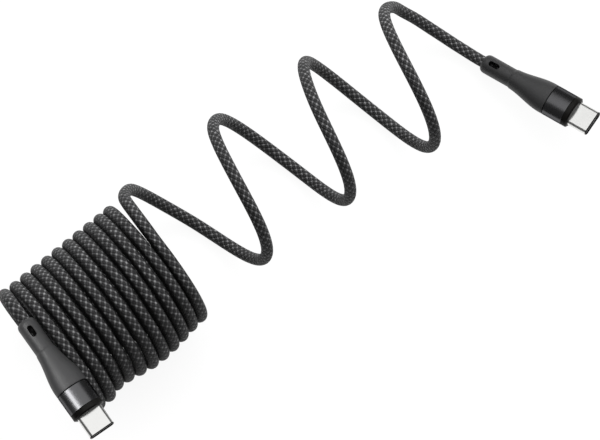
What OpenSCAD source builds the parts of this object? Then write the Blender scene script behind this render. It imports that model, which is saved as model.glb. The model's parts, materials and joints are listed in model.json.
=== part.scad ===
// Coiled charging cable. A braided cord is wound in a close coil that stands
// on the floor on its round side. Its last loops are drawn out, and each end
// carries the same reversible plug: a moulded boot, a metal collar, a dark
// front cap and a steel shell with its contacts.
// Millimetres, +Z up. The floor is z = 0, X runs along the coil from plug A
// to plug B, and the origin is under the middle of the whole cable.

/* [Cord and coil] */

// Diameter of the braided cord
cord_d = 3.6; // [3.2:0.1:4]
// Space between neighbouring closed turns
turn_gap = 0.4; // [0.3:0.1:1.5]
// Radius of the closed coil, to the middle of the cord
coil_r = 20.5; // [16:0.5:26]
// Turns that lie side by side
closed_turns = 11; // [6:1:14]
// How much wider the drawn-out loops stand, on the radius
loop_grow = 0.3; // [0:0.1:2]
// How far each turn leans towards plug A at its near side
turn_lean = 0.7; // [0:0.1:1.5]

/* [Boot] */

// Length of the boot, from the cord to the collar
boot_l = 24.5; // [22:0.1:30]
// Width of the boot's narrow part
neck_w = 6; // [5.4:0.1:7]
// Thickness of the boot's narrow part
neck_t = 5.6; // [5:0.1:6.4]
// Length of the narrow part, up to the small step
neck_l = 10.4; // [8:0.2:11]
// Height of the small step in the boot's outline
neck_step = 0.2; // [0:0.05:0.4]
// Length of the flare that follows the step
flare_l = 12.8; // [9:0.2:13.6]
// Length of the rounding at the cord end
tail_round = 1.6; // [0.8:0.1:2.4]
// Wall left round the cord at the very end of the boot
tail_wall = 0.15; // [0.1:0.05:0.6]
// Length of the oblong strain relief slot
slot_l = 3.8; // [2.5:0.1:5]
// Width of the oblong strain relief slot
slot_w = 1.7; // [1:0.1:2.6]
// Distance from the cord end to the middle of the slot
slot_at = 4.2; // [3.4:0.1:6]

/* [Collar and front cap] */

// Width of the collar across the broad face
plug_w = 10.2; // [9.8:0.1:12]
// Thickness of the collar over the crown of its broad faces
plug_t = 6.8; // [6.2:0.1:8]
// Length of the metal collar, with the seam behind it
collar_l = 7.1; // [6.4:0.1:9]
// Wall of the metal collar
collar_wall = 0.5; // [0.3:0.05:0.7]
// Chamfer at both ends of the collar
collar_chamfer = 0.15; // [0.05:0.05:0.3]
// Open seam between boot and collar
seam = 0.15; // [0.05:0.05:0.3]
// Length of the dark front cap
cap_l = 1.8; // [1.2:0.1:3]
// Bevel at the front of the cap, measured across its thickness
cap_bevel = 0.4; // [0.2:0.1:0.5]

/* [Connector shell] */

// Width of the steel shell
shell_w = 8.25; // [8.25:0.01:8.34]
// Thickness of the steel shell
shell_t = 2.4; // [2.4:0.01:2.5]
// Sheet that the shell is drawn from
shell_wall = 0.3; // [0.25:0.01:0.35]
// Length of shell that stands out of the cap
shell_out = 6.65; // [6:0.05:7]
// Length of shell held behind the cap's front face
shell_in = 6; // [5:0.1:6.4]
// How far the insulator stays back from the mouth
mouth_step = 1; // [0.6:0.1:1.5]
// Depth of the slot that takes the mating tongue
tongue_depth = 4.9; // [4.4:0.1:5.2]
// Insulator left at each side of the slot that takes the mating tongue
tongue_side = 0.325; // [0.25:0.025:0.4]

/* [Contacts and springs] */

// Contacts in each row
contacts = 12; // [6:2:12]
// Distance between contacts
contact_pitch = 0.5; // [0.5:0.01:0.52]
// Width of one contact
contact_w = 0.25; // [0.2:0.01:0.3]
// Sheet that the contacts are cut from
contact_t = 0.12; // [0.1:0.01:0.16]
// Drop of the contact point towards the tongue
contact_drop = 0.1; // [0.05:0.01:0.12]
// Sheet of the latch plate between the rows
latch_t = 0.2; // [0.15:0.01:0.24]
// Distance from the latch plate's front edge to its hooks
hook_at = 1.2; // [0.8:0.1:1.6]
// Sheet of the two ground springs
spring_t = 0.1; // [0.08:0.01:0.12]
// Length of the contact tails laid on the board
tail_lap = 1.6; // [1.2:0.1:2]

/* [Board and wires] */

// Space at each side of the board inside the shell
board_side = 0.325; // [0.2:0.025:0.5]
// Length of the small circuit board
board_l = 7.4; // [6.5:0.1:7.6]
// How far the board reaches into the shell
board_in = 1.1; // [0.8:0.1:1.4]
// Thickness of the small circuit board
board_t = 0.8; // [0.6:0.05:0.9]
// Side of the square marker chip
chip_w = 2.4; // [1.6:0.1:3]
// Height of the marker chip
chip_t = 0.7; // [0.4:0.05:0.8]
// Diameter of one insulated wire
wire_d = 0.9; // [0.6:0.05:1]
// Spacing of the two wires on one side of the board
wire_pitch = 1.6; // [1.2:0.05:1.7]
// Length of wire laid on the board
wire_lap = 1.6; // [1:0.1:2]
// Wire left free between the jacket and the inner mould
wire_free = 1; // [0.5:0.1:2]
// Wall of the boot round the inner mould
boot_wall = 0.9; // [0.7:0.05:1.2]

/* [Hidden] */

$fn = 96;

// Clearance round pieces that are moulded or pushed together
fit_gap = 0.05;
// Overshoot of cuts
eps = 0.5;

// Where the origin lies in the coil's own frame
origin_x = 82.56;
origin_y = -12.61;

// Tubes with few sides keep the round cord's cross-section area
coil_sides = 6;
lead_sides = 8;
rings_per_loop = 24;
coil_tube_r = cord_d / 2 * sqrt(2 * PI / (coil_sides * sin(360 / coil_sides)));
lead_tube_r = cord_d / 2 * sqrt(2 * PI / (lead_sides * sin(360 / lead_sides)));

// Flat on the underside where the coil stands on the floor
floor_flat = cord_d / 10;
foot_z = coil_tube_r - floor_flat;

// The closed coil ends a little before its last far-side point
pitch = cord_d + turn_gap;
open_from = closed_turns - 0.1;

// Drawn-out loops: turn counted from the last closed one, then the distance
// along the coil from where it opens
loop_x = [
    [-0.1, 0], [0, 5], [0.25, 18], [0.5, 24], [0.75, 29],
    [0.9, 34.5], [1, 40.2], [1.25, 50.8], [1.5, 54.5], [1.75, 60],
    [2, 71.8], [2.25, 81.2], [2.5, 84.5], [2.75, 89.5], [2.9, 95.8], [3, 102]
];
// Sideways place of the coil's axis, by the same turns
loop_y = [
    [-0.5, 0.4], [-0.25, 1.2], [0, 2], [0.5, 2],
    [1, 1.6], [1.5, 0], [2, -1.6], [2.5, -3.6], [3, -4.4]
];
// How far the hand-wound turns reach beyond the round at their near side
near_reach = [
    [0, 1.3], [1.5, 1.3], [2.5, 0.1], [3.5, 0.3], [4.5, 1.1],
    [5.5, 1.8], [7.5, 1.6], [9.5, 0.4], [10.5, 0], [11, 0]
];
open_turns = loop_x[len(loop_x) - 1][0];
last_turn = closed_turns + open_turns;

// Plug A lies on top of the coil, plug B points away near the floor
plug_a_at = [-2, 7.2, foot_z + 2 * coil_r - 0.3];
plug_a_yaw = 175.5;
plug_a_pitch = 3.5;
plug_b_at = [160.1, -11.2, 3.6];
plug_b_yaw = -164;
plug_b_pitch = 13;

// Free stretch from the coil's first turn up into boot A
lead_a_mid = [
    [-0.3, 19.5, 29.5], [-0.7, 18, 34.5], [-1.3, 15.2, 39]
];
// Free stretch from the last loop down to the floor and into boot B
lead_b_mid = [
    [148.7, 15.2, 15], [151.6, 11.6, 10], [153.6, 7.8, 6.5],
    [155.5, 3.4, 4.3], [156.9, -0.7, 3.2], [158.3, -4.8, 2.8]
];

// Stations along a plug, from the cord end
collar_y = boot_l + seam;
cap_y = boot_l + collar_l;
cap_front = cap_y + cap_l;
tip_y = cap_front + shell_out;
shell_y = cap_front - shell_in;
housing_front = tip_y - mouth_step;
cavity_y = housing_front - tongue_depth;
board_front = shell_y + board_in;
board_y = board_front - board_l;
housing_y = board_front + 0.1;
chip_y = board_y + wire_lap + 0.6;
tail_y = board_front - tail_lap;
mould_y = board_y - 0.4;
jacket_front = mould_y - wire_free;

// Sections inside the plug
mould_w = plug_w - 2 * collar_wall - 2 * fit_gap;
mould_t = plug_t - 2 * collar_wall - 2 * fit_gap;
mould_tail_w = plug_w - 2 * boot_wall - 2 * fit_gap;
mould_tail_t = plug_t - 2 * boot_wall - 2 * fit_gap;
inner_w = shell_w - 2 * shell_wall;
inner_t = shell_t - 2 * shell_wall;
housing_w = inner_w - 2 * fit_gap;
housing_t = inner_t - 2 * spring_t - 2 * fit_gap;
tongue_w = housing_w - 2 * tongue_side;
spring_w = housing_w - housing_t - fit_gap;
board_w = inner_w - 2 * board_side;
row_z = board_t / 2;
row_top = row_z + contact_t;
wire_z = row_z + wire_d / 2;

// ---- Curves ---------------------------------------------------------------

function unit(a) = a / norm(a);
function clamp01(a) = max(0, min(1, a));
function smooth(a) = clamp01(a) * clamp01(a) * (3 - 2 * clamp01(a));

// Index of the table row at or before m
function row(table, m, i = 0) =
    i >= len(table) - 2 || table[i + 1][0] > m ? i : row(table, m, i + 1);
function secant(table, i) =
    (table[i + 1][1] - table[i][1]) / (table[i + 1][0] - table[i][0]);
// Slope at a station: first as given, last one-sided, the mean elsewhere
function slope(table, i, first) =
    i == 0 ? first
    : i == len(table) - 1 ? secant(table, i - 1)
    : (secant(table, i - 1) + secant(table, i)) / 2;
// Smooth curve through the table's stations
function through(table, m, first) =
    let (i = row(table, m))
    let (h = table[i + 1][0] - table[i][0])
    let (s = (m - table[i][0]) / h)
    let (a = h * slope(table, i, first))
    let (b = h * slope(table, i + 1, first))
    (1 + 2 * s) * (1 - s) * (1 - s) * table[i][1] + s * (1 - s) * (1 - s) * a
    + s * s * (3 - 2 * s) * table[i + 1][1] - s * s * (1 - s) * b;

// Place along the coil before the lean, and the lean, which ends where it opens
function along(n) =
    n <= open_from ? pitch * n
    : pitch * open_from + through(loop_x, n - closed_turns, pitch);
function lean(n) = n >= closed_turns ? 0 : turn_lean * (1 - cos(360 * n)) / 2;
function coil_x(n) = along(n) - lean(n);
function reach(n) =
    n >= closed_turns ? 0 : through(near_reach, n, 0) * pow(max(0, -cos(360 * n)), 2);
function coil_y(n) =
    (n <= closed_turns - 0.5 ? loop_y[0][1] : through(loop_y, n - closed_turns, 0))
    - reach(n);
function coil_radius(n) =
    coil_r + loop_grow * smooth((n - closed_turns + 0.5) / 0.75);
// Middle of the cord at turn n: far side at whole turns, floor a quarter on
function coil_at(n) = [
    coil_x(n),
    coil_y(n) + coil_radius(n) * cos(360 * n),
    foot_z + coil_radius(n) * (1 - sin(360 * n))
];
function coil_dir(n) =
    unit(coil_at(min(n + 0.004, last_turn)) - coil_at(max(n - 0.004, 0)));

// One ring of a tube; u points away from the coil's axis
function ring(at, dir, away, r, sides) =
    let (u = unit(away - (away * dir) * dir))
    let (v = cross(dir, u))
    [for (i = [0 : sides - 1])
        at + r * (cos(360 * i / sides) * u + sin(360 * i / sides) * v)];
function coil_ring(n, ahead = 0) =
    ring(coil_at(n) + ahead * coil_dir(n), coil_dir(n),
        [0, cos(360 * n), -sin(360 * n)], coil_tube_r, coil_sides);

coil_steps = last_turn * rings_per_loop;
coil_rings = concat(
    [coil_ring(0, -cord_d)],
    [for (i = [0 : coil_steps]) coil_ring(i / rings_per_loop)],
    [coil_ring(last_turn, cord_d)]
);

// Least gap between the coil's turns, from ring points about one loop apart
coil_gap = min([
    for (i = [1 : coil_steps - rings_per_loop + 1])
        for (j = [i + rings_per_loop - 2 : min(i + rings_per_loop + 2, coil_steps + 1)])
            for (p = coil_rings[i])
                for (q = coil_rings[j]) norm(p - q)
]);
echo(least_coil_gap = coil_gap);

// ---- Free stretches -------------------------------------------------------

function plug_dir(yaw, tilt) =
    [-sin(yaw) * cos(tilt), cos(yaw) * cos(tilt), sin(tilt)];

// Route with a straight diameter of cord at each end
function route(from, from_dir, mid, to, to_dir) = concat(
    [from, from + cord_d / 3 * from_dir],
    mid,
    [to - cord_d * to_dir, to]
);
lead_a_route = route(
    coil_at(0) - cord_d * coil_dir(0), -coil_dir(0), lead_a_mid,
    plug_a_at, plug_dir(plug_a_yaw, plug_a_pitch)
);
lead_b_route = route(
    coil_at(last_turn) + cord_d * coil_dir(last_turn), coil_dir(last_turn), lead_b_mid,
    plug_b_at, plug_dir(plug_b_yaw, plug_b_pitch)
);

// Curve through a route's points, three rings between neighbours
lead_rings_between = 3;
function knot(p, i) = p[max(0, min(len(p) - 1, i))];
function bend(p, i, s) =
    let (a = knot(p, i - 1), b = knot(p, i), c = knot(p, i + 1), d = knot(p, i + 2))
    0.5 * (2 * b + (c - a) * s + (2 * a - 5 * b + 4 * c - d) * s * s
        + (3 * b - a - 3 * c + d) * s * s * s);
function lead_path(p) = concat(
    [p[0]],
    [for (i = [1 : len(p) - 3])
        for (k = [0 : lead_rings_between - 1]) bend(p, i, k / lead_rings_between)],
    [p[len(p) - 2], p[len(p) - 1]]
);
// Rings along the path, their sideways direction carried on without twist
function lead_rings(path, away, first_dir, last_dir, i = 0) =
    let (
        last = len(path) - 1,
        t = i == 0 ? first_dir : i >= last - 1 ? last_dir
            : unit(path[i + 1] - path[i - 1]),
        u = unit(away - (away * t) * t)
    )
    i == last
        ? [ring(path[i], t, u, lead_tube_r, lead_sides)]
        : concat(
            [ring(path[i], t, u, lead_tube_r, lead_sides)],
            lead_rings(path, u, first_dir, last_dir, i + 1)
        );

// Closed tube over a list of rings, all faces triangles
module tube(rings) {
    k = len(rings[0]);
    m = len(rings);
    sides = [
        for (j = [0 : m - 2])
            for (i = [0 : k - 1])
                for (f = [0, 1])
                    let (a = j * k + i, b = j * k + (i + 1) % k)
                    f == 0 ? [a, a + k, b] : [b, a + k, b + k]
    ];
    near_end = [for (i = [1 : k - 2]) [0, i, i + 1]];
    last = (m - 1) * k;
    far_end = [for (i = [1 : k - 2]) [last, last + i + 1, last + i]];
    polyhedron(
        points = [for (r = rings) for (p = r) p],
        faces = concat(sides, near_end, far_end),
        convexity = 10
    );
}

// ---- Oval sections --------------------------------------------------------

// Crowned bar: an ellipse w wide and t thick, along +Y from y = 0
module crowned_bar(w, t, l) {
    scale([w / t, 1, 1])
        rotate([-90, 0, 0])
            cylinder(h = l, d = t);
}

// Crowned body whose thickness follows a profile of half thickness and place
// along +Y; its width keeps the same proportion
module crowned_body(w, t, profile) {
    scale([w / t, 1, 1])
        rotate([-90, 0, 0])
            rotate_extrude()
                polygon(concat(
                    [[0, profile[0][1]]], profile, [[0, profile[len(profile) - 1][1]]]
                ));
}

// Flat oval bar with full-round ends, along +Y from y = 0
module oval_bar(w, t, l) {
    for (s = [-1, 1])
        translate([s * (w - t) / 2, 0, 0])
            rotate([-90, 0, 0])
                cylinder(h = l, d = t);
    translate([-(w - t) / 2, 0, -t / 2])
        cube([w - t, l, t]);
}

// Oval bar that narrows by inset on every side over its length
module oval_taper(w, t, l, inset) {
    for (s = [-1, 1])
        translate([s * (w - t) / 2, 0, 0])
            rotate([-90, 0, 0])
                cylinder(h = l, d1 = t, d2 = t - 2 * inset);
    translate([-(w - t) / 2, 0, 0])
        rotate([90, 0, 90])
            linear_extrude(height = w - t)
                polygon([[0, -t / 2], [l, inset - t / 2], [l, t / 2 - inset], [0, t / 2]]);
}

// Outline in Y and Z, made to a width about x = 0
module side_profile(w, points) {
    translate([-w / 2, 0, 0])
        rotate([90, 0, 90])
            linear_extrude(height = w)
                polygon(points);
}

module box(w, y0, y1, z0, z1) {
    translate([-w / 2, y0, z0])
        cube([w, y1 - y0, z1 - z0]);
}

// ---- Plug pieces, in the plug's own frame ----------------------------------
// The cord end is y = 0, the tip is +Y and the broad face is +Z.

boot_segments = 32;
tail_d = cord_d + 2 * fit_gap + 2 * tail_wall;
boot_front_w = plug_w;
boot_front_t = plug_t;
function tail_curve(y) = 1 - sqrt(1 - pow(1 - clamp01(y / tail_round), 2));
function flare(y) = smooth((y - neck_l) / flare_l);
function step_at(y) = y > neck_l ? 2 * neck_step : 0;
function boot_w(y) =
    y <= neck_l ? neck_w - (neck_w - tail_d) * tail_curve(y)
    : neck_w + step_at(y) + (boot_front_w - neck_w - step_at(y)) * flare(y);
function boot_t(y) =
    y <= neck_l ? neck_t - (neck_t - tail_d) * tail_curve(y)
    : neck_t + step_at(y) + (boot_front_t - neck_t - step_at(y)) * flare(y);
function boot_section(y, w, t) = [
    for (i = [0 : boot_segments - 1])
        let (a = 360 * (i + 0.5) / boot_segments)
        [w / 2 * cos(a), y, t / 2 * sin(a)]
];
tail_stations = [for (s = [0, 0.06, 0.2, 0.42, 0.7, 1]) s * tail_round];
flare_stations = [for (s = [0 : 10]) neck_l + 0.15 + (flare_l - 0.15) * s / 10];
boot_stations = concat(tail_stations, [neck_l], flare_stations, [boot_l]);
boot_rings = [for (y = boot_stations) boot_section(y, boot_w(y), boot_t(y))];

module oblong(l, w, h) {
    for (s = [-1, 1])
        translate([0, s * (l - w) / 2, -h / 2])
            cylinder(h = h, d = w);
    translate([-w / 2, -(l - w) / 2, -h / 2])
        cube([w, l - w, h]);
}

module boot() {
    difference() {
        mirror([0, 0, 1])
            tube(boot_rings);
        // Bore for the cord
        translate([0, -eps, 0])
            rotate([-90, 0, 0])
                cylinder(h = mould_y + 2 * eps, d = cord_d + 2 * fit_gap);
        // Pocket for the inner mould
        translate([0, mould_y - fit_gap, 0])
            crowned_bar(mould_tail_w + 2 * fit_gap, mould_tail_t + 2 * fit_gap, boot_l);
        // Strain relief slot through both broad faces
        translate([0, slot_at, 0])
            oblong(slot_l, slot_w, 2 * neck_t);
    }
}

module jacket_end() {
    rotate([-90, 0, 0])
        cylinder(h = jacket_front, d = cord_d);
}

module wires() {
    for (s = [-1, 1])
        for (z = [-wire_z, wire_z])
            translate([s * wire_pitch / 2, jacket_front, z])
                rotate([-90, 0, 0])
                    cylinder(h = board_y + wire_lap - jacket_front, d = wire_d, $fn = 24);
}

module circuit_board() {
    box(board_w, board_y, board_front, -board_t / 2, board_t / 2);
}

module marker_chip() {
    box(chip_w, chip_y, chip_y + chip_w, board_t / 2, board_t / 2 + chip_t);
}

module inner_mould() {
    g = fit_gap;
    difference() {
        union() {
            translate([0, mould_y, 0])
                crowned_bar(mould_tail_w, mould_tail_t, collar_y - mould_y + eps);
            translate([0, collar_y, 0])
                crowned_bar(mould_w, mould_t, cap_y - collar_y);
        }
        // Board, chip and wires
        box(board_w + 2 * g, board_y - g, board_front + g, -board_t / 2 - g, board_t / 2 + g);
        box(chip_w + 2 * g, chip_y - g, chip_y + chip_w + g, 0, board_t / 2 + chip_t + g);
        for (s = [-1, 1])
            for (z = [-wire_z, wire_z])
                translate([s * wire_pitch / 2, mould_y - eps, z])
                    rotate([-90, 0, 0])
                        cylinder(h = board_y + wire_lap + g - mould_y + eps, d = wire_d + 2 * g, $fn = 24);
        // Rear of the shell
        translate([0, shell_y - g, 0])
            oval_bar(shell_w + 2 * g, shell_t + 2 * g, cap_y);
        // Contact tails behind the shell
        box(contacts * contact_pitch + 2 * g, tail_y - g, shell_y, -row_top - g, row_top + g);
    }
}

module collar() {
    g = collar_chamfer;
    r = plug_t / 2;
    difference() {
        crowned_body(plug_w, plug_t, [
            [r - g, collar_y], [r, collar_y + g], [r, cap_y - g], [r - g, cap_y]
        ]);
        translate([0, collar_y - eps, 0])
            crowned_bar(plug_w - 2 * collar_wall, plug_t - 2 * collar_wall,
                cap_y - collar_y + 2 * eps);
    }
}

module front_cap() {
    r = plug_t / 2;
    difference() {
        crowned_body(plug_w, plug_t, [
            [r, cap_y], [r, cap_front - cap_bevel], [r - cap_bevel, cap_front]
        ]);
        translate([0, cap_y - eps, 0])
            oval_bar(shell_w + 2 * fit_gap, shell_t + 2 * fit_gap, cap_l + 2 * eps);
    }
}

module shell() {
    lip = shell_wall / 2;
    difference() {
        union() {
            translate([0, shell_y, 0])
                oval_bar(shell_w, shell_t, tip_y - lip - shell_y);
            translate([0, tip_y - lip, 0])
                oval_taper(shell_w, shell_t, lip, lip / 2);
        }
        translate([0, shell_y - eps, 0])
            oval_bar(inner_w, inner_t, tip_y - shell_y + 2 * eps);
    }
}

module contact_housing() {
    difference() {
        translate([0, housing_y, 0])
            oval_bar(housing_w, housing_t, housing_front - housing_y);
        // Slot for the mating tongue
        box(tongue_w, cavity_y, housing_front + eps, -row_top, row_top);
        // Passages for the two rows of contacts
        for (z = [-row_top, row_z])
            box(contacts * contact_pitch, housing_y - eps, cavity_y + eps, z, z + contact_t);
        // Channel for the latch plate and its arms
        box(housing_w - 0.3, housing_y + 0.5, housing_front + eps,
            -latch_t / 2 - fit_gap, latch_t / 2 + fit_gap);
    }
}

// One row of contacts above the middle plane
module contact_row() {
    nose = housing_front - 0.6;
    point = nose - 1;
    drop = row_z - contact_drop;
    for (i = [0 : contacts - 1])
        translate([(i - (contacts - 1) / 2) * contact_pitch, 0, 0])
            side_profile(contact_w, [
                [tail_y, row_z], [point - 0.6, row_z], [point - 0.2, drop],
                [point + 0.2, drop], [point + 0.6, row_z], [nose, row_z],
                [nose, row_top], [tail_y, row_top]
            ]);
}

// Plate between the rows, with a hooked arm along each side
module latch_plate() {
    back = housing_y + 0.6;
    front = housing_front - 0.3;
    out = housing_w / 2 - 0.15;
    arm = tongue_w / 2 - 0.02;
    catch = arm - 0.25;
    hook = front - hook_at;
    translate([0, 0, -latch_t / 2])
        linear_extrude(height = latch_t)
            polygon([
                [-out, back], [out, back], [out, front], [arm, front],
                [catch, hook + 0.5], [catch, hook], [arm, hook - 0.6],
                [arm, cavity_y - 0.2], [-arm, cavity_y - 0.2], [-arm, hook - 0.6],
                [-catch, hook], [-catch, hook + 0.5], [-arm, front], [-out, front]
            ]);
}

// Sprung sheet on each broad side, folded over the insulator's front edge
module ground_springs() {
    low = housing_t / 2 + fit_gap / 2;
    back = cavity_y;
    fold = housing_front + 0.05;
    for (m = [0, 1])
        mirror([0, 0, m])
            side_profile(spring_w, [
                [back, low], [fold, low], [fold, low - 0.2],
                [fold + spring_t, low - 0.2], [fold + spring_t, low + spring_t],
                [back, low + spring_t]
            ]);
}

// ---- Placing ----------------------------------------------------------------

module in_frame() {
    translate([-origin_x, -origin_y, 0])
        children();
}

module at_plug_a() {
    in_frame()
        translate(plug_a_at)
            rotate([0, 0, plug_a_yaw])
                rotate([plug_a_pitch, 0, 0])
                    children();
}

module at_plug_b() {
    in_frame()
        translate(plug_b_at)
            rotate([0, 0, plug_b_yaw])
                rotate([plug_b_pitch, 0, 0])
                    children();
}

// ---- Nodes ------------------------------------------------------------------

module cord_coil() {
    color([0.1, 0.1, 0.11])
        in_frame()
            difference() {
                tube(coil_rings);
                translate([-coil_r, -3 * coil_r, -coil_r])
                    cube([coil_x(last_turn) + 3 * coil_r, 6 * coil_r, coil_r]);
            }
}

module cord_lead_a() {
    color([0.16, 0.16, 0.18])
        in_frame()
            tube(lead_rings(lead_path(lead_a_route), [0, 1, 0],
                -coil_dir(0), plug_dir(plug_a_yaw, plug_a_pitch)));
}

module cord_lead_b() {
    color([0.16, 0.16, 0.18])
        in_frame()
            tube(lead_rings(lead_path(lead_b_route), [0, 1, 0],
                coil_dir(last_turn), plug_dir(plug_b_yaw, plug_b_pitch)));
}

module plug_a_shell() { color([0.8, 0.8, 0.82]) at_plug_a() shell(); }
module plug_a_contact_housing() { color([0.08, 0.08, 0.08]) at_plug_a() contact_housing(); }
module plug_a_contacts_upper() { color([0.85, 0.68, 0.3]) at_plug_a() contact_row(); }
module plug_a_contacts_lower() { color([0.85, 0.68, 0.3]) at_plug_a() mirror([0, 0, 1]) contact_row(); }
module plug_a_latch_plate() { color([0.7, 0.7, 0.72]) at_plug_a() latch_plate(); }
module plug_a_ground_springs() { color([0.72, 0.72, 0.7]) at_plug_a() ground_springs(); }
module plug_a_circuit_board() { color([0.1, 0.4, 0.2]) at_plug_a() circuit_board(); }
module plug_a_marker_chip() { color([0.05, 0.05, 0.06]) at_plug_a() marker_chip(); }
module plug_a_wires() { color([0.7, 0.15, 0.12]) at_plug_a() wires(); }
module plug_a_inner_mould() { color([0.85, 0.84, 0.8]) at_plug_a() inner_mould(); }
module plug_a_front_cap() { color([0.1, 0.09, 0.08]) at_plug_a() front_cap(); }
module plug_a_collar() { color([0.35, 0.35, 0.38]) at_plug_a() collar(); }
module plug_a_boot() { color([0.25, 0.25, 0.26]) at_plug_a() boot(); }
module plug_a_jacket_end() { color([0.1, 0.1, 0.11]) at_plug_a() jacket_end(); }

module plug_b_shell() { color([0.8, 0.8, 0.82]) at_plug_b() shell(); }
module plug_b_contact_housing() { color([0.08, 0.08, 0.08]) at_plug_b() contact_housing(); }
module plug_b_contacts_upper() { color([0.85, 0.68, 0.3]) at_plug_b() contact_row(); }
module plug_b_contacts_lower() { color([0.85, 0.68, 0.3]) at_plug_b() mirror([0, 0, 1]) contact_row(); }
module plug_b_latch_plate() { color([0.7, 0.7, 0.72]) at_plug_b() latch_plate(); }
module plug_b_ground_springs() { color([0.72, 0.72, 0.7]) at_plug_b() ground_springs(); }
module plug_b_circuit_board() { color([0.1, 0.4, 0.2]) at_plug_b() circuit_board(); }
module plug_b_marker_chip() { color([0.05, 0.05, 0.06]) at_plug_b() marker_chip(); }
module plug_b_wires() { color([0.7, 0.15, 0.12]) at_plug_b() wires(); }
module plug_b_inner_mould() { color([0.85, 0.84, 0.8]) at_plug_b() inner_mould(); }
module plug_b_front_cap() { color([0.1, 0.09, 0.08]) at_plug_b() front_cap(); }
module plug_b_collar() { color([0.35, 0.35, 0.38]) at_plug_b() collar(); }
module plug_b_boot() { color([0.25, 0.25, 0.26]) at_plug_b() boot(); }
module plug_b_jacket_end() { color([0.1, 0.1, 0.11]) at_plug_b() jacket_end(); }

cord_coil();
cord_lead_a();
cord_lead_b();
plug_a_shell();
plug_a_contact_housing();
plug_a_contacts_upper();
plug_a_contacts_lower();
plug_a_latch_plate();
plug_a_ground_springs();
plug_a_circuit_board();
plug_a_marker_chip();
plug_a_wires();
plug_a_inner_mould();
plug_a_front_cap();
plug_a_collar();
plug_a_boot();
plug_a_jacket_end();
plug_b_shell();
plug_b_contact_housing();
plug_b_contacts_upper();
plug_b_contacts_lower();
plug_b_latch_plate();
plug_b_ground_springs();
plug_b_circuit_board();
plug_b_marker_chip();
plug_b_wires();
plug_b_inner_mould();
plug_b_front_cap();
plug_b_collar();
plug_b_boot();
plug_b_jacket_end();
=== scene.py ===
"""Looks for the coiled charging cable: braided cord, moulded boots, metal collars."""

import bpy
import json
import math
import numpy as np
from mathutils import Matrix, Vector


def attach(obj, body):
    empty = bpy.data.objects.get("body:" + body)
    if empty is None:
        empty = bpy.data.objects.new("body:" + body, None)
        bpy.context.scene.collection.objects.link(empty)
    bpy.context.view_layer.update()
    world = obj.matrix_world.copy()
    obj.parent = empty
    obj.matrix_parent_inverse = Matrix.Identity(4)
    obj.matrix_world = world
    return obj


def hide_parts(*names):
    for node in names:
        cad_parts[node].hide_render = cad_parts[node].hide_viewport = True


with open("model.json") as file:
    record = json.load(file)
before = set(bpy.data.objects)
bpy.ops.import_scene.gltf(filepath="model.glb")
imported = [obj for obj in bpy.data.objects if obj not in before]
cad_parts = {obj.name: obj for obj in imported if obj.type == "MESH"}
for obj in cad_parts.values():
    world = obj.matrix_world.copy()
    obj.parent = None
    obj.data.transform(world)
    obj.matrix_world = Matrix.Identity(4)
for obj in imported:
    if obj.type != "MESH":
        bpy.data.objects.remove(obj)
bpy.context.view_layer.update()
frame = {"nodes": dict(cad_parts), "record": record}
nodes = frame["nodes"]
scene = bpy.context.scene
MM = 0.001

# ---- Sizes, as in the part's source, in millimetres -----------------------------

CORD_D = 3.6
PITCH = 4.0
COIL_R = 20.5
LOOP_GROW = 0.3
CLOSED = 11
OPEN_FROM = CLOSED - 0.1
CLOSED_X = PITCH * OPEN_FROM
LAST = CLOSED + 3
TUBE_R = CORD_D / 2 * math.sqrt(2 * math.pi / (6 * math.sin(math.radians(60))))
FOOT_Z = TUBE_R - CORD_D / 10
ORIGIN = np.array([82.56, -12.61, 0.0])
TURN_LEAN = 0.7
# Places of the drawn-out loops by turn, counted from the last closed one
LOOP_X = [(-0.1, 0), (0, 5), (0.25, 18), (0.5, 24), (0.75, 29),
          (0.9, 34.5), (1, 40.2), (1.25, 50.8), (1.5, 54.5), (1.75, 60),
          (2, 71.8), (2.25, 81.2), (2.5, 84.5), (2.75, 89.5), (2.9, 95.8), (3, 102)]
LOOP_Y = [(-0.5, 0.4), (-0.25, 1.2), (0, 2), (0.5, 2),
          (1, 1.6), (1.5, 0), (2, -1.6), (2.5, -3.6), (3, -4.4)]
# How far each closed turn's near side comes forward, by turn from the coil's start
NEAR_REACH = [(0, 1.3), (1.5, 1.3), (2.5, 0.1), (3.5, 0.3), (4.5, 1.1),
              (5.5, 1.8), (7.5, 1.6), (9.5, 0.4), (10.5, 0), (11, 0)]
# Points of the two free stretches between the coil and the plugs
LEAD_A = [(-0.3, 19.5, 29.5), (-0.7, 18, 34.5), (-1.3, 15.2, 39)]
LEAD_B = [(148.7, 15.2, 15), (151.6, 11.6, 10), (153.6, 7.8, 6.5),
          (155.5, 3.4, 4.3), (156.9, -0.7, 3.2), (158.3, -4.8, 2.8)]
# Place of each boot's tail, then its turn and tilt in degrees
PLUGS = {"a": ((-2.0, 7.2, FOOT_Z + 2 * COIL_R - 0.3), 175.5, 3.5),
         "b": ((160.1, -11.2, 3.6), -164.0, 13.0)}
BOOT_L, NECK_W, NECK_T, NECK_L, NECK_STEP = 24.5, 6.0, 5.6, 10.4, 0.2
FLARE_L, TAIL_ROUND, TAIL_WALL = 12.8, 1.6, 0.15
SLOT_L, SLOT_W, SLOT_AT = 3.8, 1.7, 4.2
PLUG_W, PLUG_T, FIT = 10.2, 6.8, 0.05
JACKET_L = 19.7

# ---- Sizes that the looks add, in millimetres ------------------------------------

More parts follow.
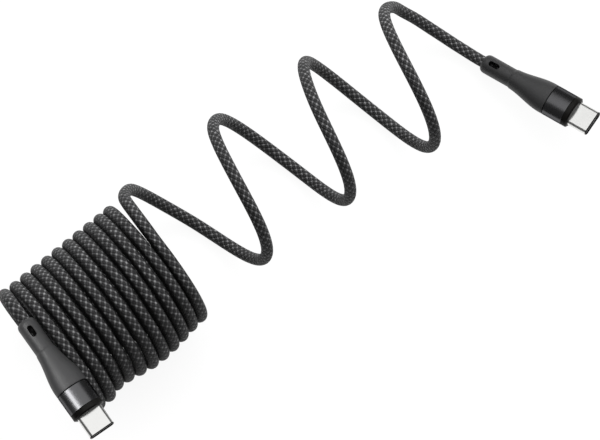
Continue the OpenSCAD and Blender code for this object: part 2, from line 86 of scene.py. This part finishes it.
# Sideways rest by turn: the last closed turn and the first open one lean together
SETTLE = [(9.5, 0), (9.75, 0), (9.85, -0.3), (10, -0.3), (10.15, 0), (10.5, 0),
          (10.62, -0.15), (10.76, -0.22), (10.81, 0.03), (10.86, 0.45), (10.91, 0.95),
          (10.98, 0.95), (11.04, 0.4), (11.09, 0), (11.14, -0.2), (11.22, -0.05), (11.3, 0)]
PER_LOOP = 96        # points drawn for each turn
PER_SPAN = 6         # points drawn from each point of a lead to the next
EASE_ROUNDS = 6      # how often the corners between coil and leads are eased
PATH_STEP = 1.1      # spacing of the cord's rings
CORD_SIDES = 24
FUZZ = 0.085         # how much fuller the cord is where its closed turns touch
SQUEEZE = 0.14       # how much thinner it is inside the boots
STRANDS = 12         # strands in each of the braid's two families
BRAID_STEP = 1.15    # length along the cord from one crossing to the next
STEP_EASE = 0.9      # length over which the boot's step rises
BOOT_SIDES = 96
BOOT_EDGE = 0.12     # rounding at the boot's front
BOOT_SHARP = 32      # degrees from which its edges stay sharp
BORE_SIDES = 48
BORE_ENDS = (-1.0, 12.0)                 # the bore's cutter, along the boot
SLOT_ENDS = ((0.3, 6.0), (-6.0, -0.3))   # the slot's two cutters, across it
LIP_REFLECTION = 0.36           # painted dark reflection on the lip at the mouth of the shells
FLOOR_HALF = 3000    # half the floor's width
FLOOR_DROP = 0.3     # how far the floor lies under the part
FLOOR_SHADE = 25     # reach of the soft shadow under the cord


# ---- Camera ------------------------------------------------------------------------

AZ, EL = math.radians(39.8), math.radians(76.3)
VIEW = Vector((math.sin(AZ) * math.cos(EL), math.cos(AZ) * math.cos(EL), -math.sin(EL)))
RIGHT = Vector((math.cos(AZ), -math.sin(AZ), 0))
UP = RIGHT.cross(VIEW)
TARGET = Vector((82.5, -16.4, 20.0)) * MM - Vector(ORIGIN * MM)
CAMERA_AWAY = 1.15                 # metres
FOCAL, PICTURE_W = 3852, 600       # pixels
cam_data = bpy.data.cameras.new("camera")
cam_data.sensor_width = 36
cam_data.lens = FOCAL * 36 / PICTURE_W
cam_data.clip_start = 0.01
cam_data.clip_end = 20
cam = bpy.data.objects.new("camera", cam_data)
cam.location = TARGET - VIEW * CAMERA_AWAY
cam.rotation_euler = VIEW.to_track_quat("-Z", "Y").to_euler()
scene.collection.objects.link(cam)
scene.camera = cam


# ---- The cord's route --------------------------------------------------------------

def slope(table, i, first):
    """Slope at point i of a table: the mean of the two stretches that meet there."""
    def stretch(k):
        return (table[k + 1][1] - table[k][1]) / (table[k + 1][0] - table[k][0])
    if i == 0:
        return first
    if i == len(table) - 1:
        return stretch(i - 1)
    return (stretch(i - 1) + stretch(i)) / 2


def through(table, m, first):
    """Smooth curve through a table of (place, value), with a given first slope."""
    i = 0
    while i < len(table) - 2 and table[i + 1][0] <= m:
        i += 1
    h = table[i + 1][0] - table[i][0]
    s = (m - table[i][0]) / h
    a, b = h * slope(table, i, first), h * slope(table, i + 1, first)
    return ((1 + 2 * s) * (1 - s) ** 2 * table[i][1] + s * (1 - s) ** 2 * a
            + s * s * (3 - 2 * s) * table[i + 1][1] - s * s * (1 - s) * b)


def coil_at(n):
    """Centre of the cord at turn n; n counts from the coil's start, at its far side."""
    x = PITCH * n if n <= OPEN_FROM else CLOSED_X + through(LOOP_X, n - CLOSED, PITCH)
    y = LOOP_Y[0][1] if n <= CLOSED - 0.5 else through(LOOP_Y, n - CLOSED, 0)
    if n < CLOSED:
        near = -math.cos(2 * math.pi * n)
        x -= TURN_LEAN * (1 + near) / 2
        y -= through(NEAR_REACH, n, 0) * max(0.0, near) ** 2
    g = min(1, max(0, (n - CLOSED + 0.5) / 0.75))
    r = COIL_R + LOOP_GROW * g * g * (3 - 2 * g)
    t = 2 * math.pi * n
    return np.array([x, y + r * math.cos(t), FOOT_Z + r * (1 - math.sin(t))])


def settled(n):
    """The same point, at its sideways rest."""
    rest = through(SETTLE, min(max(n, SETTLE[0][0]), SETTLE[-1][0]), 0)
    return coil_at(n) + np.array([rest, 0, 0])


def unit(a):
    return a / np.linalg.norm(a)


def coil_dir(n):
    return unit(coil_at(min(n + 0.004, LAST)) - coil_at(max(n - 0.004, 0)))


def plug_axes(which):
    """Place of a plug's tail (mm), and its own axes: y runs to the shell's mouth."""
    at, yaw, tilt = PLUGS[which]
    y, t = math.radians(yaw), math.radians(tilt)
    rz = np.array([[math.cos(y), -math.sin(y), 0], [math.sin(y), math.cos(y), 0], [0, 0, 1]])
    rx = np.array([[1, 0, 0], [0, math.cos(t), -math.sin(t)], [0, math.sin(t), math.cos(t)]])
    return np.array(at), rz @ rx


def in_plug(which, points):
    """Points in a plug's own frame (mm) to the part's frame (m)."""
    at, rot = plug_axes(which)
    return (at + np.asarray(points, float) @ rot.T - ORIGIN) * MM


def spline(points, per):
    """Smooth line through all the points but the first and the last."""
    p = [np.array(q, float) for q in points]
    out = []
    for i in range(1, len(p) - 2):
        a, b, c, d = p[i - 1:i + 3]
        for k in range(per):
            s = k / per
            out.append(0.5 * (2 * b + (c - a) * s + (2 * a - 5 * b + 4 * c - d) * s * s
                              + (3 * b - a - 3 * c + d) * s ** 3))
    return out + [p[-2]]


def lead(start, start_dir, mid, which):
    """Free stretch from the coil into a plug's boot."""
    at, rot = plug_axes(which)
    d = rot[:, 1]
    pts = [start, start + CORD_D / 3 * start_dir] + [np.array(m, float) for m in mid] \
        + [at - CORD_D * d, at]
    inside = [at + k * d for k in np.arange(0.0, JACKET_L, 1.0)] + [at + JACKET_L * d]
    return [start] + spline(pts, PER_SPAN) + [at - CORD_D / 2 * d] + inside


def smooth_path(p, step):
    """The same line with even spacing, corners between stretches eased."""
    def even(q, h):
        s = np.concatenate([[0], np.cumsum(np.linalg.norm(np.diff(q, axis=0), axis=1))])
        n = max(2, int(round(s[-1] / h)) + 1)
        u = np.linspace(0, s[-1], n)
        return np.stack([np.interp(u, s, q[:, k]) for k in range(3)], 1)
    q = even(p, step)
    for _ in range(EASE_ROUNDS):
        q[1:-1] = 0.25 * q[:-2] + 0.5 * q[1:-1] + 0.25 * q[2:]
    return even(q, step)


lead_a = lead(coil_at(0) - CORD_D * coil_dir(0), -coil_dir(0), LEAD_A, "a")
lead_b = lead(coil_at(LAST) + CORD_D * coil_dir(LAST), coil_dir(LAST), LEAD_B, "b")
coil_pts = [settled(i / PER_LOOP) for i in range(LAST * PER_LOOP + 1)]
path = smooth_path(np.array(lead_a[::-1] + coil_pts + lead_b), PATH_STEP)


# ---- Materials ---------------------------------------------------------------------

class Nodes:
    """Short way to write a material's node tree."""

    def __init__(self, name):
        self.mat = bpy.data.materials.new(name)
        self.mat.use_nodes = True
        self.tree = self.mat.node_tree
        self.tree.nodes.clear()
        self.out = self.add("ShaderNodeOutputMaterial")

    def add(self, kind, **props):
        n = self.tree.nodes.new(kind)
        for k, v in props.items():
            setattr(n, k, v)
        return n

    def link(self, a, b):
        self.tree.links.new(a, b)

    def put(self, socket, value):
        if isinstance(value, bpy.types.NodeSocket):
            self.link(value, socket)
        else:
            socket.default_value = value

    def math(self, op, a, b=0.0, c=None, clamp=False):
        n = self.add("ShaderNodeMath", operation=op, use_clamp=clamp)
        self.put(n.inputs[0], a)
        self.put(n.inputs[1], b)
        if c is not None:
            self.put(n.inputs[2], c)
        return n.outputs[0]

    def plus(self, a, b, clamp=False):
        return self.math("ADD", a, b, clamp=clamp)

    def minus(self, a, b):
        return self.math("SUBTRACT", a, b)

    def times(self, a, b, clamp=False):
        return self.math("MULTIPLY", a, b, clamp=clamp)

    def power(self, a, b):
        return self.math("POWER", a, b)

    def sine(self, a, rate):
        return self.math("SINE", self.times(a, rate))

    def noise(self, scale, detail, rough, stretch=None):
        n = self.add("ShaderNodeTexNoise")
        n.inputs["Scale"].default_value = scale
        n.inputs["Detail"].default_value = detail
        n.inputs["Roughness"].default_value = rough
        place = self.add("ShaderNodeTexCoord").outputs["Object"]
        if stretch:
            m = self.add("ShaderNodeMapping")
            m.inputs["Scale"].default_value = stretch
            self.link(place, m.inputs["Vector"])
            place = m.outputs[0]
        self.link(place, n.inputs["Vector"])
        return n.outputs[0]

    def mark(self, name):
        return self.add("ShaderNodeAttribute", attribute_name=name).outputs["Fac"]

    def ramp(self, fac, *stops):
        n = self.add("ShaderNodeValToRGB")
        for e, (pos, col) in zip(n.color_ramp.elements, stops):
            e.position = pos
            e.color = (*col, 1)
        self.link(fac, n.inputs[0])
        return n.outputs[0]

    def mix(self, fac, a, b):
        n = self.add("ShaderNodeMix", data_type="RGBA")
        self.put(n.inputs["Factor"], fac)
        for s, v in ((n.inputs[6], a), (n.inputs[7], b)):
            self.put(s, (*v, 1) if isinstance(v, tuple) else v)
        return n.outputs[2]

    def bump(self, height, distance, strength):
        n = self.add("ShaderNodeBump")
        n.inputs["Distance"].default_value = distance
        n.inputs["Strength"].default_value = strength
        self.link(height, n.inputs["Height"])
        return n.outputs[0]

    def surface(self, **values):
        """Ends the tree in a Principled surface with these values, and gives the material."""
        bsdf = self.add("ShaderNodeBsdfPrincipled")
        self.link(bsdf.outputs[0], self.out.inputs["Surface"])
        for k, v in values.items():
            self.put(bsdf.inputs[k.replace("_", " ")], v)
        return self.mat


def grey(level, blue=0.0):
    """A grey with a little more blue in it."""
    return (level, level, level + blue)


def braid_material():
    """Two families of strands, p and q, that cross over and under one another.
    UV.x is the turn round the cord, UV.y the length along it in millimetres."""
    m = Nodes("braid")
    uv = m.add("ShaderNodeSeparateXYZ")
    m.link(m.add("ShaderNodeUVMap", uv_map="braid").outputs[0], uv.inputs[0])
    s = m.times(uv.outputs[0], float(STRANDS))
    t = m.math("DIVIDE", uv.outputs[1], BRAID_STEP)
    p, q = m.plus(s, t), m.minus(s, t)
    i, j = m.math("FLOOR", p), m.math("FLOOR", q)
    in_p, in_q = m.math("FRACT", p), m.math("FRACT", q)
    q_on_top = m.math("FLOORED_MODULO", m.plus(i, j), 2.0)
    p_on_top = m.minus(1.0, q_on_top)
    hump_p, hump_q = m.sine(in_p, math.pi), m.sine(in_q, math.pi)
    crown = m.times(hump_p, hump_q)

    def of_top(for_p, for_q):
        return m.plus(m.times(for_p, p_on_top), m.times(for_q, q_on_top))

    # Across the strand it is round, along it the strand dives under the next
    body = m.power(of_top(hump_p, hump_q), 0.5)
    dive = m.power(of_top(hump_q, hump_p), 0.7)
    height = m.times(body, m.plus(0.3, m.times(dive, 0.7)))
    # Yarns laid side by side in each strand
    yarn = m.math("ABSOLUTE", m.sine(of_top(in_p, in_q), 3 * math.pi))
    fuzz = m.noise(2600, 3, 0.6)
    height = m.plus(height, m.times(yarn, 0.16))
    height = m.plus(height, m.times(fuzz, 0.12))

    # Grey tracer yarns show as round dots where every second p strand is on top
    round_p = m.plus(0.5, m.times(m.sine(p, math.pi), 0.5))
    round_q = m.plus(0.5, m.times(m.sine(q, math.pi), 0.5))
    spot = m.power(m.times(round_p, round_q), 1.7)
    # The other p strands are the blackest
    plain = m.times(p_on_top, m.math("FLOORED_MODULO", i, 2.0))
    plain = m.times(plain, m.power(crown, 2.4))
    # Each dot has a tone of its own, and so has each patch of the braid
    dot_p = m.math("FLOOR", m.math("DIVIDE", m.plus(p, 0.5), 2.0))
    dot_q = m.math("FLOOR", m.math("DIVIDE", m.plus(q, 0.5), 2.0))
    pair = m.add("ShaderNodeCombineXYZ")
    m.link(m.math("FLOORED_MODULO", dot_p, STRANDS / 2), pair.inputs[0])
    m.link(m.minus(dot_p, dot_q), pair.inputs[1])
    cell = m.add("ShaderNodeTexWhiteNoise", noise_dimensions="2D")
    m.link(pair.outputs[0], cell.inputs["Vector"])
    tone = cell.outputs["Value"]
    vary = m.plus(0.25, m.plus(m.times(tone, 0.6), m.times(m.noise(160, 2, 0.6), 0.4)))
    spot = m.times(spot, vary, clamp=True)
    fleck = m.times(crown, m.plus(0.02, m.times(tone, 0.22)))
    fleck = m.times(fleck, m.plus(0.35, m.noise(1400, 2, 0.7)))
    # Painted shade: darker, down to near black, at each strand's edges and where it dives under
    # the next
    weave_shade = m.power(m.times(body, m.plus(0.25, m.times(dive, 0.75))), 1.2)

    dark = m.ramp(m.noise(900, 3, 0.7), (0.3, grey(0.036, 0.0005)), (0.7, grey(0.09, 0.002)))
    dark = m.mix(fleck, dark, grey(0.2, 0.005))
    dark = m.mix(m.times(plain, 0.8), dark, grey(0.003))
    dark = m.mix(weave_shade, grey(0.002), dark)
    # Painted shade: inside the boots, where it shows through the slot, the cord is darkened near
    # black and its dots dimmed
    in_boot = m.mark("in_boot")
    spot = m.times(spot, m.minus(1.0, m.times(in_boot, 0.85)))
    dark = m.mix(in_boot, dark, grey(0.0015))
    colour = m.mix(spot, dark, grey(0.34, 0.005))
    # Painted shade: the braid goes near black in the grooves between the closed turns
    colour = m.mix(m.mark("groove_shade"), colour, grey(0.001))
    return m.surface(Base_Color=colour, Roughness=m.plus(0.5, m.times(fuzz, 0.25)),
                     Normal=m.bump(height, 0.00028, 0.62), Sheen_Weight=0.06,
                     Sheen_Roughness=0.4, Specular_IOR_Level=0.3, IOR=1.33)


def plastic(name, low, high, rough, grain, depth, spec=0.5, ior=1.5):
    """Moulded plastic: fine spark-eroded grain, cloudy tone, uneven gloss."""
    m = Nodes(name)
    cloud = m.noise(90, 3, 0.6)
    fine = m.noise(grain, 3, 0.65)
    colour = m.mix(m.plus(m.times(cloud, 0.6), m.times(fine, 0.4)), low, high)
    gloss = m.plus(rough - 0.08, m.times(m.noise(260, 4, 0.7), 0.18))
    return m.surface(Base_Color=colour, Roughness=gloss, Normal=m.bump(fine, depth, 0.5),
                     Specular_IOR_Level=spec, IOR=ior)


def metal(name, colour, rough, lines, depth, wear=0.12, reflection_band=None, tint=1.0):
    """Drawn or turned metal: hair lines along the piece, faint smears.
    The band given as (axis, tip, width) paints the last bit before the tip black: a painted dark
    reflection."""
    m = Nodes(name)
    hair = m.noise(lines, 4, 0.7, stretch=(1.0, 0.06, 1.0))
    worn = m.mix(m.times(hair, wear), colour, tuple(c * 0.6 for c in colour))
    if reflection_band:
        # Painted dark reflection: a black band on the lip just before the tip
        axis, tip, width = reflection_band
        along = m.add("ShaderNodeVectorMath", operation="DOT_PRODUCT")
        m.link(m.add("ShaderNodeTexCoord").outputs["Object"], along.inputs[0])
        along.inputs[1].default_value = axis
        left = m.math("DIVIDE", m.minus(tip, along.outputs["Value"]), width)
        black = m.math("MAXIMUM", m.times(m.minus(1.0, left), 4.0), 0.0)
        worn = m.mix(m.math("SMOOTH_MIN", black, 1.0, 0.2), worn, grey(0.006))
    return m.surface(Base_Color=worn, Metallic=1.0, Specular_Tint=(tint, tint, tint, 1),
                     Roughness=m.plus(rough, m.times(m.noise(140, 3, 0.6), 0.1)),
                     Normal=m.bump(hair, depth, 0.35))


MATS = {
    "braid": braid_material(),
    "boot_plastic": plastic("boot_plastic", grey(0.025, 0.0005), grey(0.041, 0.001),
                            0.46, 5200, 0.00003, 0.75, 1.42),
    "collar_metal": metal("collar_metal", grey(0.12, 0.004), 0.22, 2600, 0.0000015, tint=0.2),
    "cap_plastic": plastic("cap_plastic", (0.005, 0.0048, 0.0045), (0.011, 0.0105, 0.0095),
                           0.3, 5200, 0.000006, 0.3, 1.3),
    "insulator": plastic("insulator", grey(0.012), grey(0.02), 0.5, 6000, 0.00001),
    "contact_gold": metal("contact_gold", (0.83, 0.62, 0.24), 0.2, 3000, 0.000003),
    "spring_steel": metal("spring_steel", grey(0.68, 0.01), 0.22, 3000, 0.000003),
    "board_laminate": plastic("board_laminate", (0.01, 0.09, 0.04), (0.02, 0.16, 0.07),
                              0.3, 3000, 0.00001),
    "chip_epoxy": plastic("chip_epoxy", grey(0.02, 0.001), grey(0.035, 0.002),
                          0.5, 5000, 0.00001),
    "wire_insulation": plastic("wire_insulation", (0.5, 0.05, 0.035), (0.62, 0.08, 0.05),
                               0.35, 2500, 0.00001),
    "inner_mould": plastic("inner_mould", (0.68, 0.67, 0.63), (0.78, 0.77, 0.73),
                           0.4, 2500, 0.00002),
}


def shell_steel(name, shell):
    """Bright steel with a painted dark reflection on the rounded lip at the mouth of one shell.
    """
    which = name[len("plug_")]
    turn = np.array(shell.matrix_world.to_3x3().normalized()).T
    axis = turn @ plug_axes(which)[1][:, 1]
    tip = max(float(axis @ np.array(v.co)) for v in shell.data.vertices)
    return metal(name + "_steel", (0.83, 0.83, 0.815), 0.18, 2200, 0.000001, 0.06,
                 (tuple(axis), tip, LIP_REFLECTION * MM))


# ---- Cord --------------------------------------------------------------------------

def mesh_object(name, verts, faces, slot, replaces):
    """Smooth piece of the looks that stands for the CAD nodes in `replaces`."""
    me = bpy.data.meshes.new(name)
    me.from_pydata([tuple(v) for v in verts], [], faces)
    me.update()
    o = bpy.data.objects.new(name, me)
    scene.collection.objects.link(o)
    me.materials.append(MATS[slot])
    me.polygons.foreach_set("use_smooth", [True] * len(me.polygons))
    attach(o, "root")
    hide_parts(*replaces)
    return o


def fade(x, start, width):
    """0 up to the start, then rising to 1 over the width."""
    return np.clip((x - start) / width, 0, 1)


def fullness(path):
    """Radius along the cord: its fuzz fills the space between the closed turns."""
    closed = fade(CLOSED_X + 3.2 - path[:, 0], 0, 6.0)
    below_plug = fade(FOOT_Z + 2 * COIL_R + 0.5 - path[:, 2], 0, 1.0)
    return CORD_D / 2 * (1 + FUZZ * closed * below_plug)


def groove_shade(around, path):
    """Painted shade in the grooves between the closed turns, 0 to 1: how deep a point lies in
    them, most on the side against the turn before, least on the coil's far side."""
    side = np.maximum(fade(-around[:, :, 0], 0.34, 0.3), fade(around[:, :, 0], 0.7, 0.16))
    closed = fade(CLOSED_X + 3.0 - path[:, 0], 0, 3.0)
    closed *= fade(path[:, 0], 1.5, 1.5)
    closed *= 1 - 0.4 * fade(path[:, 1], 4.0, 12.0)
    return side * closed[:, None]


def make_cord(path):
    """The tube along the path with its braid's UVs and marks; also the path's length."""
    n, sides = len(path), CORD_SIDES
    tang = np.gradient(path, axis=0)
    tang /= np.linalg.norm(tang, axis=1)[:, None]
    # A frame carried along the line without twist
    u = np.zeros_like(path)
    first = np.array([0.0, 0.0, 1.0])
    u[0] = unit(first - (first @ tang[0]) * tang[0])
    for k in range(1, n):
        u[k] = unit(u[k - 1] - (u[k - 1] @ tang[k]) * tang[k])
    v = np.cross(tang, u)
    a = np.arange(sides) * 2 * math.pi / sides
    around = np.cos(a)[None, :, None] * u[:, None, :] + np.sin(a)[None, :, None] * v[:, None, :]
    s = np.concatenate([[0], np.cumsum(np.linalg.norm(np.diff(path, axis=0), axis=1))])
    # Inside the boots the cord is thinner, and the material paints it with shade there
    in_boot = fade(np.maximum(JACKET_L - s, s - (s[-1] - JACKET_L)), 0.5, 1.0)
    radius = fullness(path) * (1 - SQUEEZE * in_boot)
    ring = path[:, None, :] + radius[:, None, None] * around
    verts = (ring.reshape(-1, 3) - ORIGIN) * MM
    faces, uvs = [], []
    for k in range(n - 1):
        for i in range(sides):
            j = (i + 1) % sides
            faces.append((k * sides + i, k * sides + j, (k + 1) * sides + j, (k + 1) * sides + i))
            x0, x1 = i / sides, (i + 1) / sides
            uvs += [(x0, s[k]), (x1, s[k]), (x1, s[k + 1]), (x0, s[k + 1])]
    faces.append(tuple(range(sides))[::-1])
    faces.append(tuple((n - 1) * sides + i for i in range(sides)))
    uvs += [(0.0, 0.0)] * (2 * sides)
    cord = mesh_object("cord", verts, faces, "braid",
                       replaces=("cord_coil", "cord_lead_a", "cord_lead_b",
                                 "plug_a_jacket_end", "plug_b_jacket_end"))
    layer = cord.data.uv_layers.new(name="braid")
    layer.data.foreach_set("uv", np.array(uvs, float).ravel())
    # The second mark says where the grooves between the closed turns get painted shade
    for name, values in (("in_boot", np.repeat(in_boot, sides)),
                         ("groove_shade", groove_shade(around, path).ravel())):
        mark = cord.data.attributes.new(name, "FLOAT", "POINT")
        mark.data.foreach_set("value", values)
    return cord, s[-1]


cord, cord_len = make_cord(path)


# ---- Boots -------------------------------------------------------------------------

def clamp01(x):
    return max(0.0, min(1.0, x))


def ease(x):
    return x * x * (3 - 2 * x)


def boot_size(y):
    """Width and thickness of the boot at a length y from its tail."""
    tail_d = CORD_D + 2 * FIT + 2 * TAIL_WALL
    c = 1 - math.sqrt(1 - (1 - clamp01(y / TAIL_ROUND)) ** 2)
    if y <= NECK_L:
        return NECK_W - (NECK_W - tail_d) * c, NECK_T - (NECK_T - tail_d) * c
    f = ease(clamp01((y - NECK_L) / FLARE_L))
    step = 2 * NECK_STEP * ease(clamp01((y - NECK_L) / STEP_EASE))
    return (NECK_W + step + (PLUG_W - NECK_W - step) * f,
            NECK_T + step + (PLUG_T - NECK_T - step) * f)


def make_boot(which):
    """Rings from tail to front, closest together at the tail's round and at the step."""
    ys = [TAIL_ROUND * (1 - math.cos(k * math.pi / 2 / 10)) for k in range(10)]
    ys += list(np.linspace(TAIL_ROUND, NECK_L, 16))
    ys += [NECK_L + rise for rise in (0.15, 0.3, 0.45, 0.6)]
    ys += list(np.linspace(NECK_L + 0.75, BOOT_L - BOOT_EDGE, 28)) + [BOOT_L - 0.04, BOOT_L]
    seg, verts, faces = BOOT_SIDES, [], []
    for y in ys:
        w, t = boot_size(y)
        left = BOOT_L - y
        if left < BOOT_EDGE:
            inset = BOOT_EDGE - math.sqrt(max(0, BOOT_EDGE ** 2 - (BOOT_EDGE - left) ** 2))
            w, t = w - 2 * inset, t - 2 * inset
        for i in range(seg):
            a = 2 * math.pi * (i + 0.5) / seg
            verts.append((w / 2 * math.cos(a), y, t / 2 * math.sin(a)))
    for k in range(len(ys) - 1):
        for i in range(seg):
            j = (i + 1) % seg
            faces.append((k * seg + i, (k + 1) * seg + i, (k + 1) * seg + j, k * seg + j))
    faces.append(tuple(range(seg)))
    faces.append(tuple((len(ys) - 1) * seg + i for i in range(seg))[::-1])
    return mesh_object("boot_" + which, in_plug(which, verts), faces, "boot_plastic",
                       replaces=("plug_%s_boot" % which,))


def cutter(which, near_end, far_end, mirrored=False):
    """Closed body between two like outlines, given in the plug's own frame. A mirrored one
    has outlines that turn the other way, as those drawn in x and z do."""
    n = len(near_end)
    ends = [tuple(range(n))[::-1], tuple(range(n, 2 * n))]
    sides = [(i, (i + 1) % n, n + (i + 1) % n, n + i) for i in range(n)]
    if mirrored:
        ends = [end[::-1] for end in ends]
        sides = [(a, d, c, b) for a, b, c, d in sides]
    me = bpy.data.meshes.new("cutter")
    me.from_pydata([tuple(v) for v in in_plug(which, near_end + far_end)], [], ends + sides)
    o = bpy.data.objects.new("cutter", me)
    scene.collection.objects.link(o)
    return o


def cut(target, tool):
    """Takes the tool's body out of the target for good, and removes the tool."""
    mod = target.modifiers.new("cut", "BOOLEAN")
    mod.operation = "DIFFERENCE"
    mod.object = tool
    mod.solver = "EXACT"
    deps = bpy.context.evaluated_depsgraph_get()
    me = bpy.data.meshes.new_from_object(target.evaluated_get(deps))
    target.modifiers.remove(mod)
    old = target.data
    target.data = me
    bpy.data.meshes.remove(old)
    bpy.data.objects.remove(tool)


def slot_outline():
    """Oblong with round ends, along the boot."""
    r, h = SLOT_W / 2, (SLOT_L - SLOT_W) / 2
    pts = []
    for start, shift in ((0, h), (math.pi, -h)):
        for k in range(24):
            a = start + math.pi * k / 23
            pts.append((r * math.cos(a), SLOT_AT + shift + r * math.sin(a)))
    return pts


def bore_outline():
    """Circle round the cord, across the boot."""
    r = CORD_D / 2 + FIT
    angles = [2 * math.pi * k / BORE_SIDES for k in range(BORE_SIDES)]
    return [(r * math.cos(a), r * math.sin(a)) for a in angles]


for w in "ab":
    boot = make_boot(w)
    bore = [[(x, y, z) for x, z in bore_outline()] for y in BORE_ENDS]
    cut(boot, cutter(w, *bore, mirrored=True))
    for ends in SLOT_ENDS:
        slot = [[(x, y, z) for x, y in slot_outline()] for z in ends]
        cut(boot, cutter(w, *slot))
    boot.data.polygons.foreach_set("use_smooth", [True] * len(boot.data.polygons))
    boot.data.set_sharp_from_angle(angle=math.radians(BOOT_SHARP))

# ---- Finish on the CAD nodes that stay ---------------------------------------------

SLOTS = {s["node"]: s["material_slot"] for s in frame["record"]["subparts"]}
for name, o in nodes.items():
    if o.hide_render:
        continue
    mat = shell_steel(name, o) if SLOTS[name] == "shell_steel" else MATS[SLOTS[name]]
    if o.data.materials:
        for place in o.material_slots:
            place.material = mat
    else:
        o.data.materials.append(mat)

# ---- Floor and light ---------------------------------------------------------------

def floor():
    """White to the camera and in mirrors, with a soft shadow; grey to bounced light."""
    me = bpy.data.meshes.new("floor")
    h = FLOOR_HALF * MM
    me.from_pydata([(-h, -h, 0), (h, -h, 0), (h, h, 0), (-h, h, 0)], [], [(0, 1, 2, 3)])
    o = bpy.data.objects.new("floor", me)
    o.location.z = -FLOOR_DROP * MM
    scene.collection.objects.link(o)
    m = Nodes("floor")
    rays = m.add("ShaderNodeLightPath").outputs
    mirrored = m.plus(rays["Is Glossy Ray"], rays["Is Transmission Ray"])
    seen = m.plus(rays["Is Camera Ray"], mirrored, clamp=True)
    diffuse = m.add("ShaderNodeBsdfDiffuse")
    m.link(m.mix(seen, grey(0.5), grey(0.05)), diffuse.inputs[0])
    shade = m.add("ShaderNodeAmbientOcclusion", samples=8)
    shade.inputs["Distance"].default_value = FLOOR_SHADE * MM
    open_sky = m.plus(0.87, m.times(shade.outputs["AO"], 0.13))
    glow = m.add("ShaderNodeEmission")
    glow.inputs[0].default_value = (1, 1, 1, 1)
    m.link(m.times(seen, open_sky), glow.inputs[1])
    both = m.add("ShaderNodeAddShader")
    m.link(diffuse.outputs[0], both.inputs[0])
    m.link(glow.outputs[0], both.inputs[1])
    m.link(both.outputs[0], m.out.inputs["Surface"])
    me.materials.append(m.mat)


floor()

world = bpy.data.worlds.new("world")
scene.world = world
world.use_nodes = True
bg = world.node_tree.nodes["Background"]
bg.inputs[0].default_value = (1, 1, 1, 1)
bg.inputs[1].default_value = 0.12


def area(name, place, size, power, along, at=TARGET, glossy=True):
    """Soft light, placed by (right, up, towards the camera) in the picture's frame;
    the second size runs along `along`."""
    data = bpy.data.lights.new(name, "AREA")
    data.shape = "RECTANGLE"
    data.size, data.size_y = size
    data.energy = power
    o = bpy.data.objects.new(name, data)
    right, up, towards = place
    o.location = at + RIGHT * right + UP * up - VIEW * towards
    z = (o.location - at).normalized()
    y = (along - z * along.dot(z)).normalized()
    o.rotation_euler = Matrix((y.cross(z), y, z)).transposed().to_euler()
    o.visible_glossy = glossy
    o.visible_camera = False
    scene.collection.objects.link(o)
    return o


area("softbox", (-0.05, 0.62, 1.04), (1.3, 1.2), 4.8, RIGHT * -0.46 + UP * 0.89)
area("key", (0.30, 0.95, 0.55), (0.5, 1.1), 15.0, RIGHT, glossy=False)
# The strip gives the long highlight on plug A's boot and collar, and lights only them
plug_a_mid = Vector(in_plug("a", [(0, 22, 0)])[0])
strip = area("strip", (-0.206, 0.082, 0.333), (0.12, 0.3), 1.0,
             RIGHT * -0.5 + UP * 0.87, plug_a_mid)
near_plug = bpy.data.collections.new("near_plug")
for o in (bpy.data.objects["boot_a"], nodes["plug_a_collar"]):
    near_plug.objects.link(o)
strip.light_linking.receiver_collection = near_plug

scene.view_settings.view_transform = "Standard"
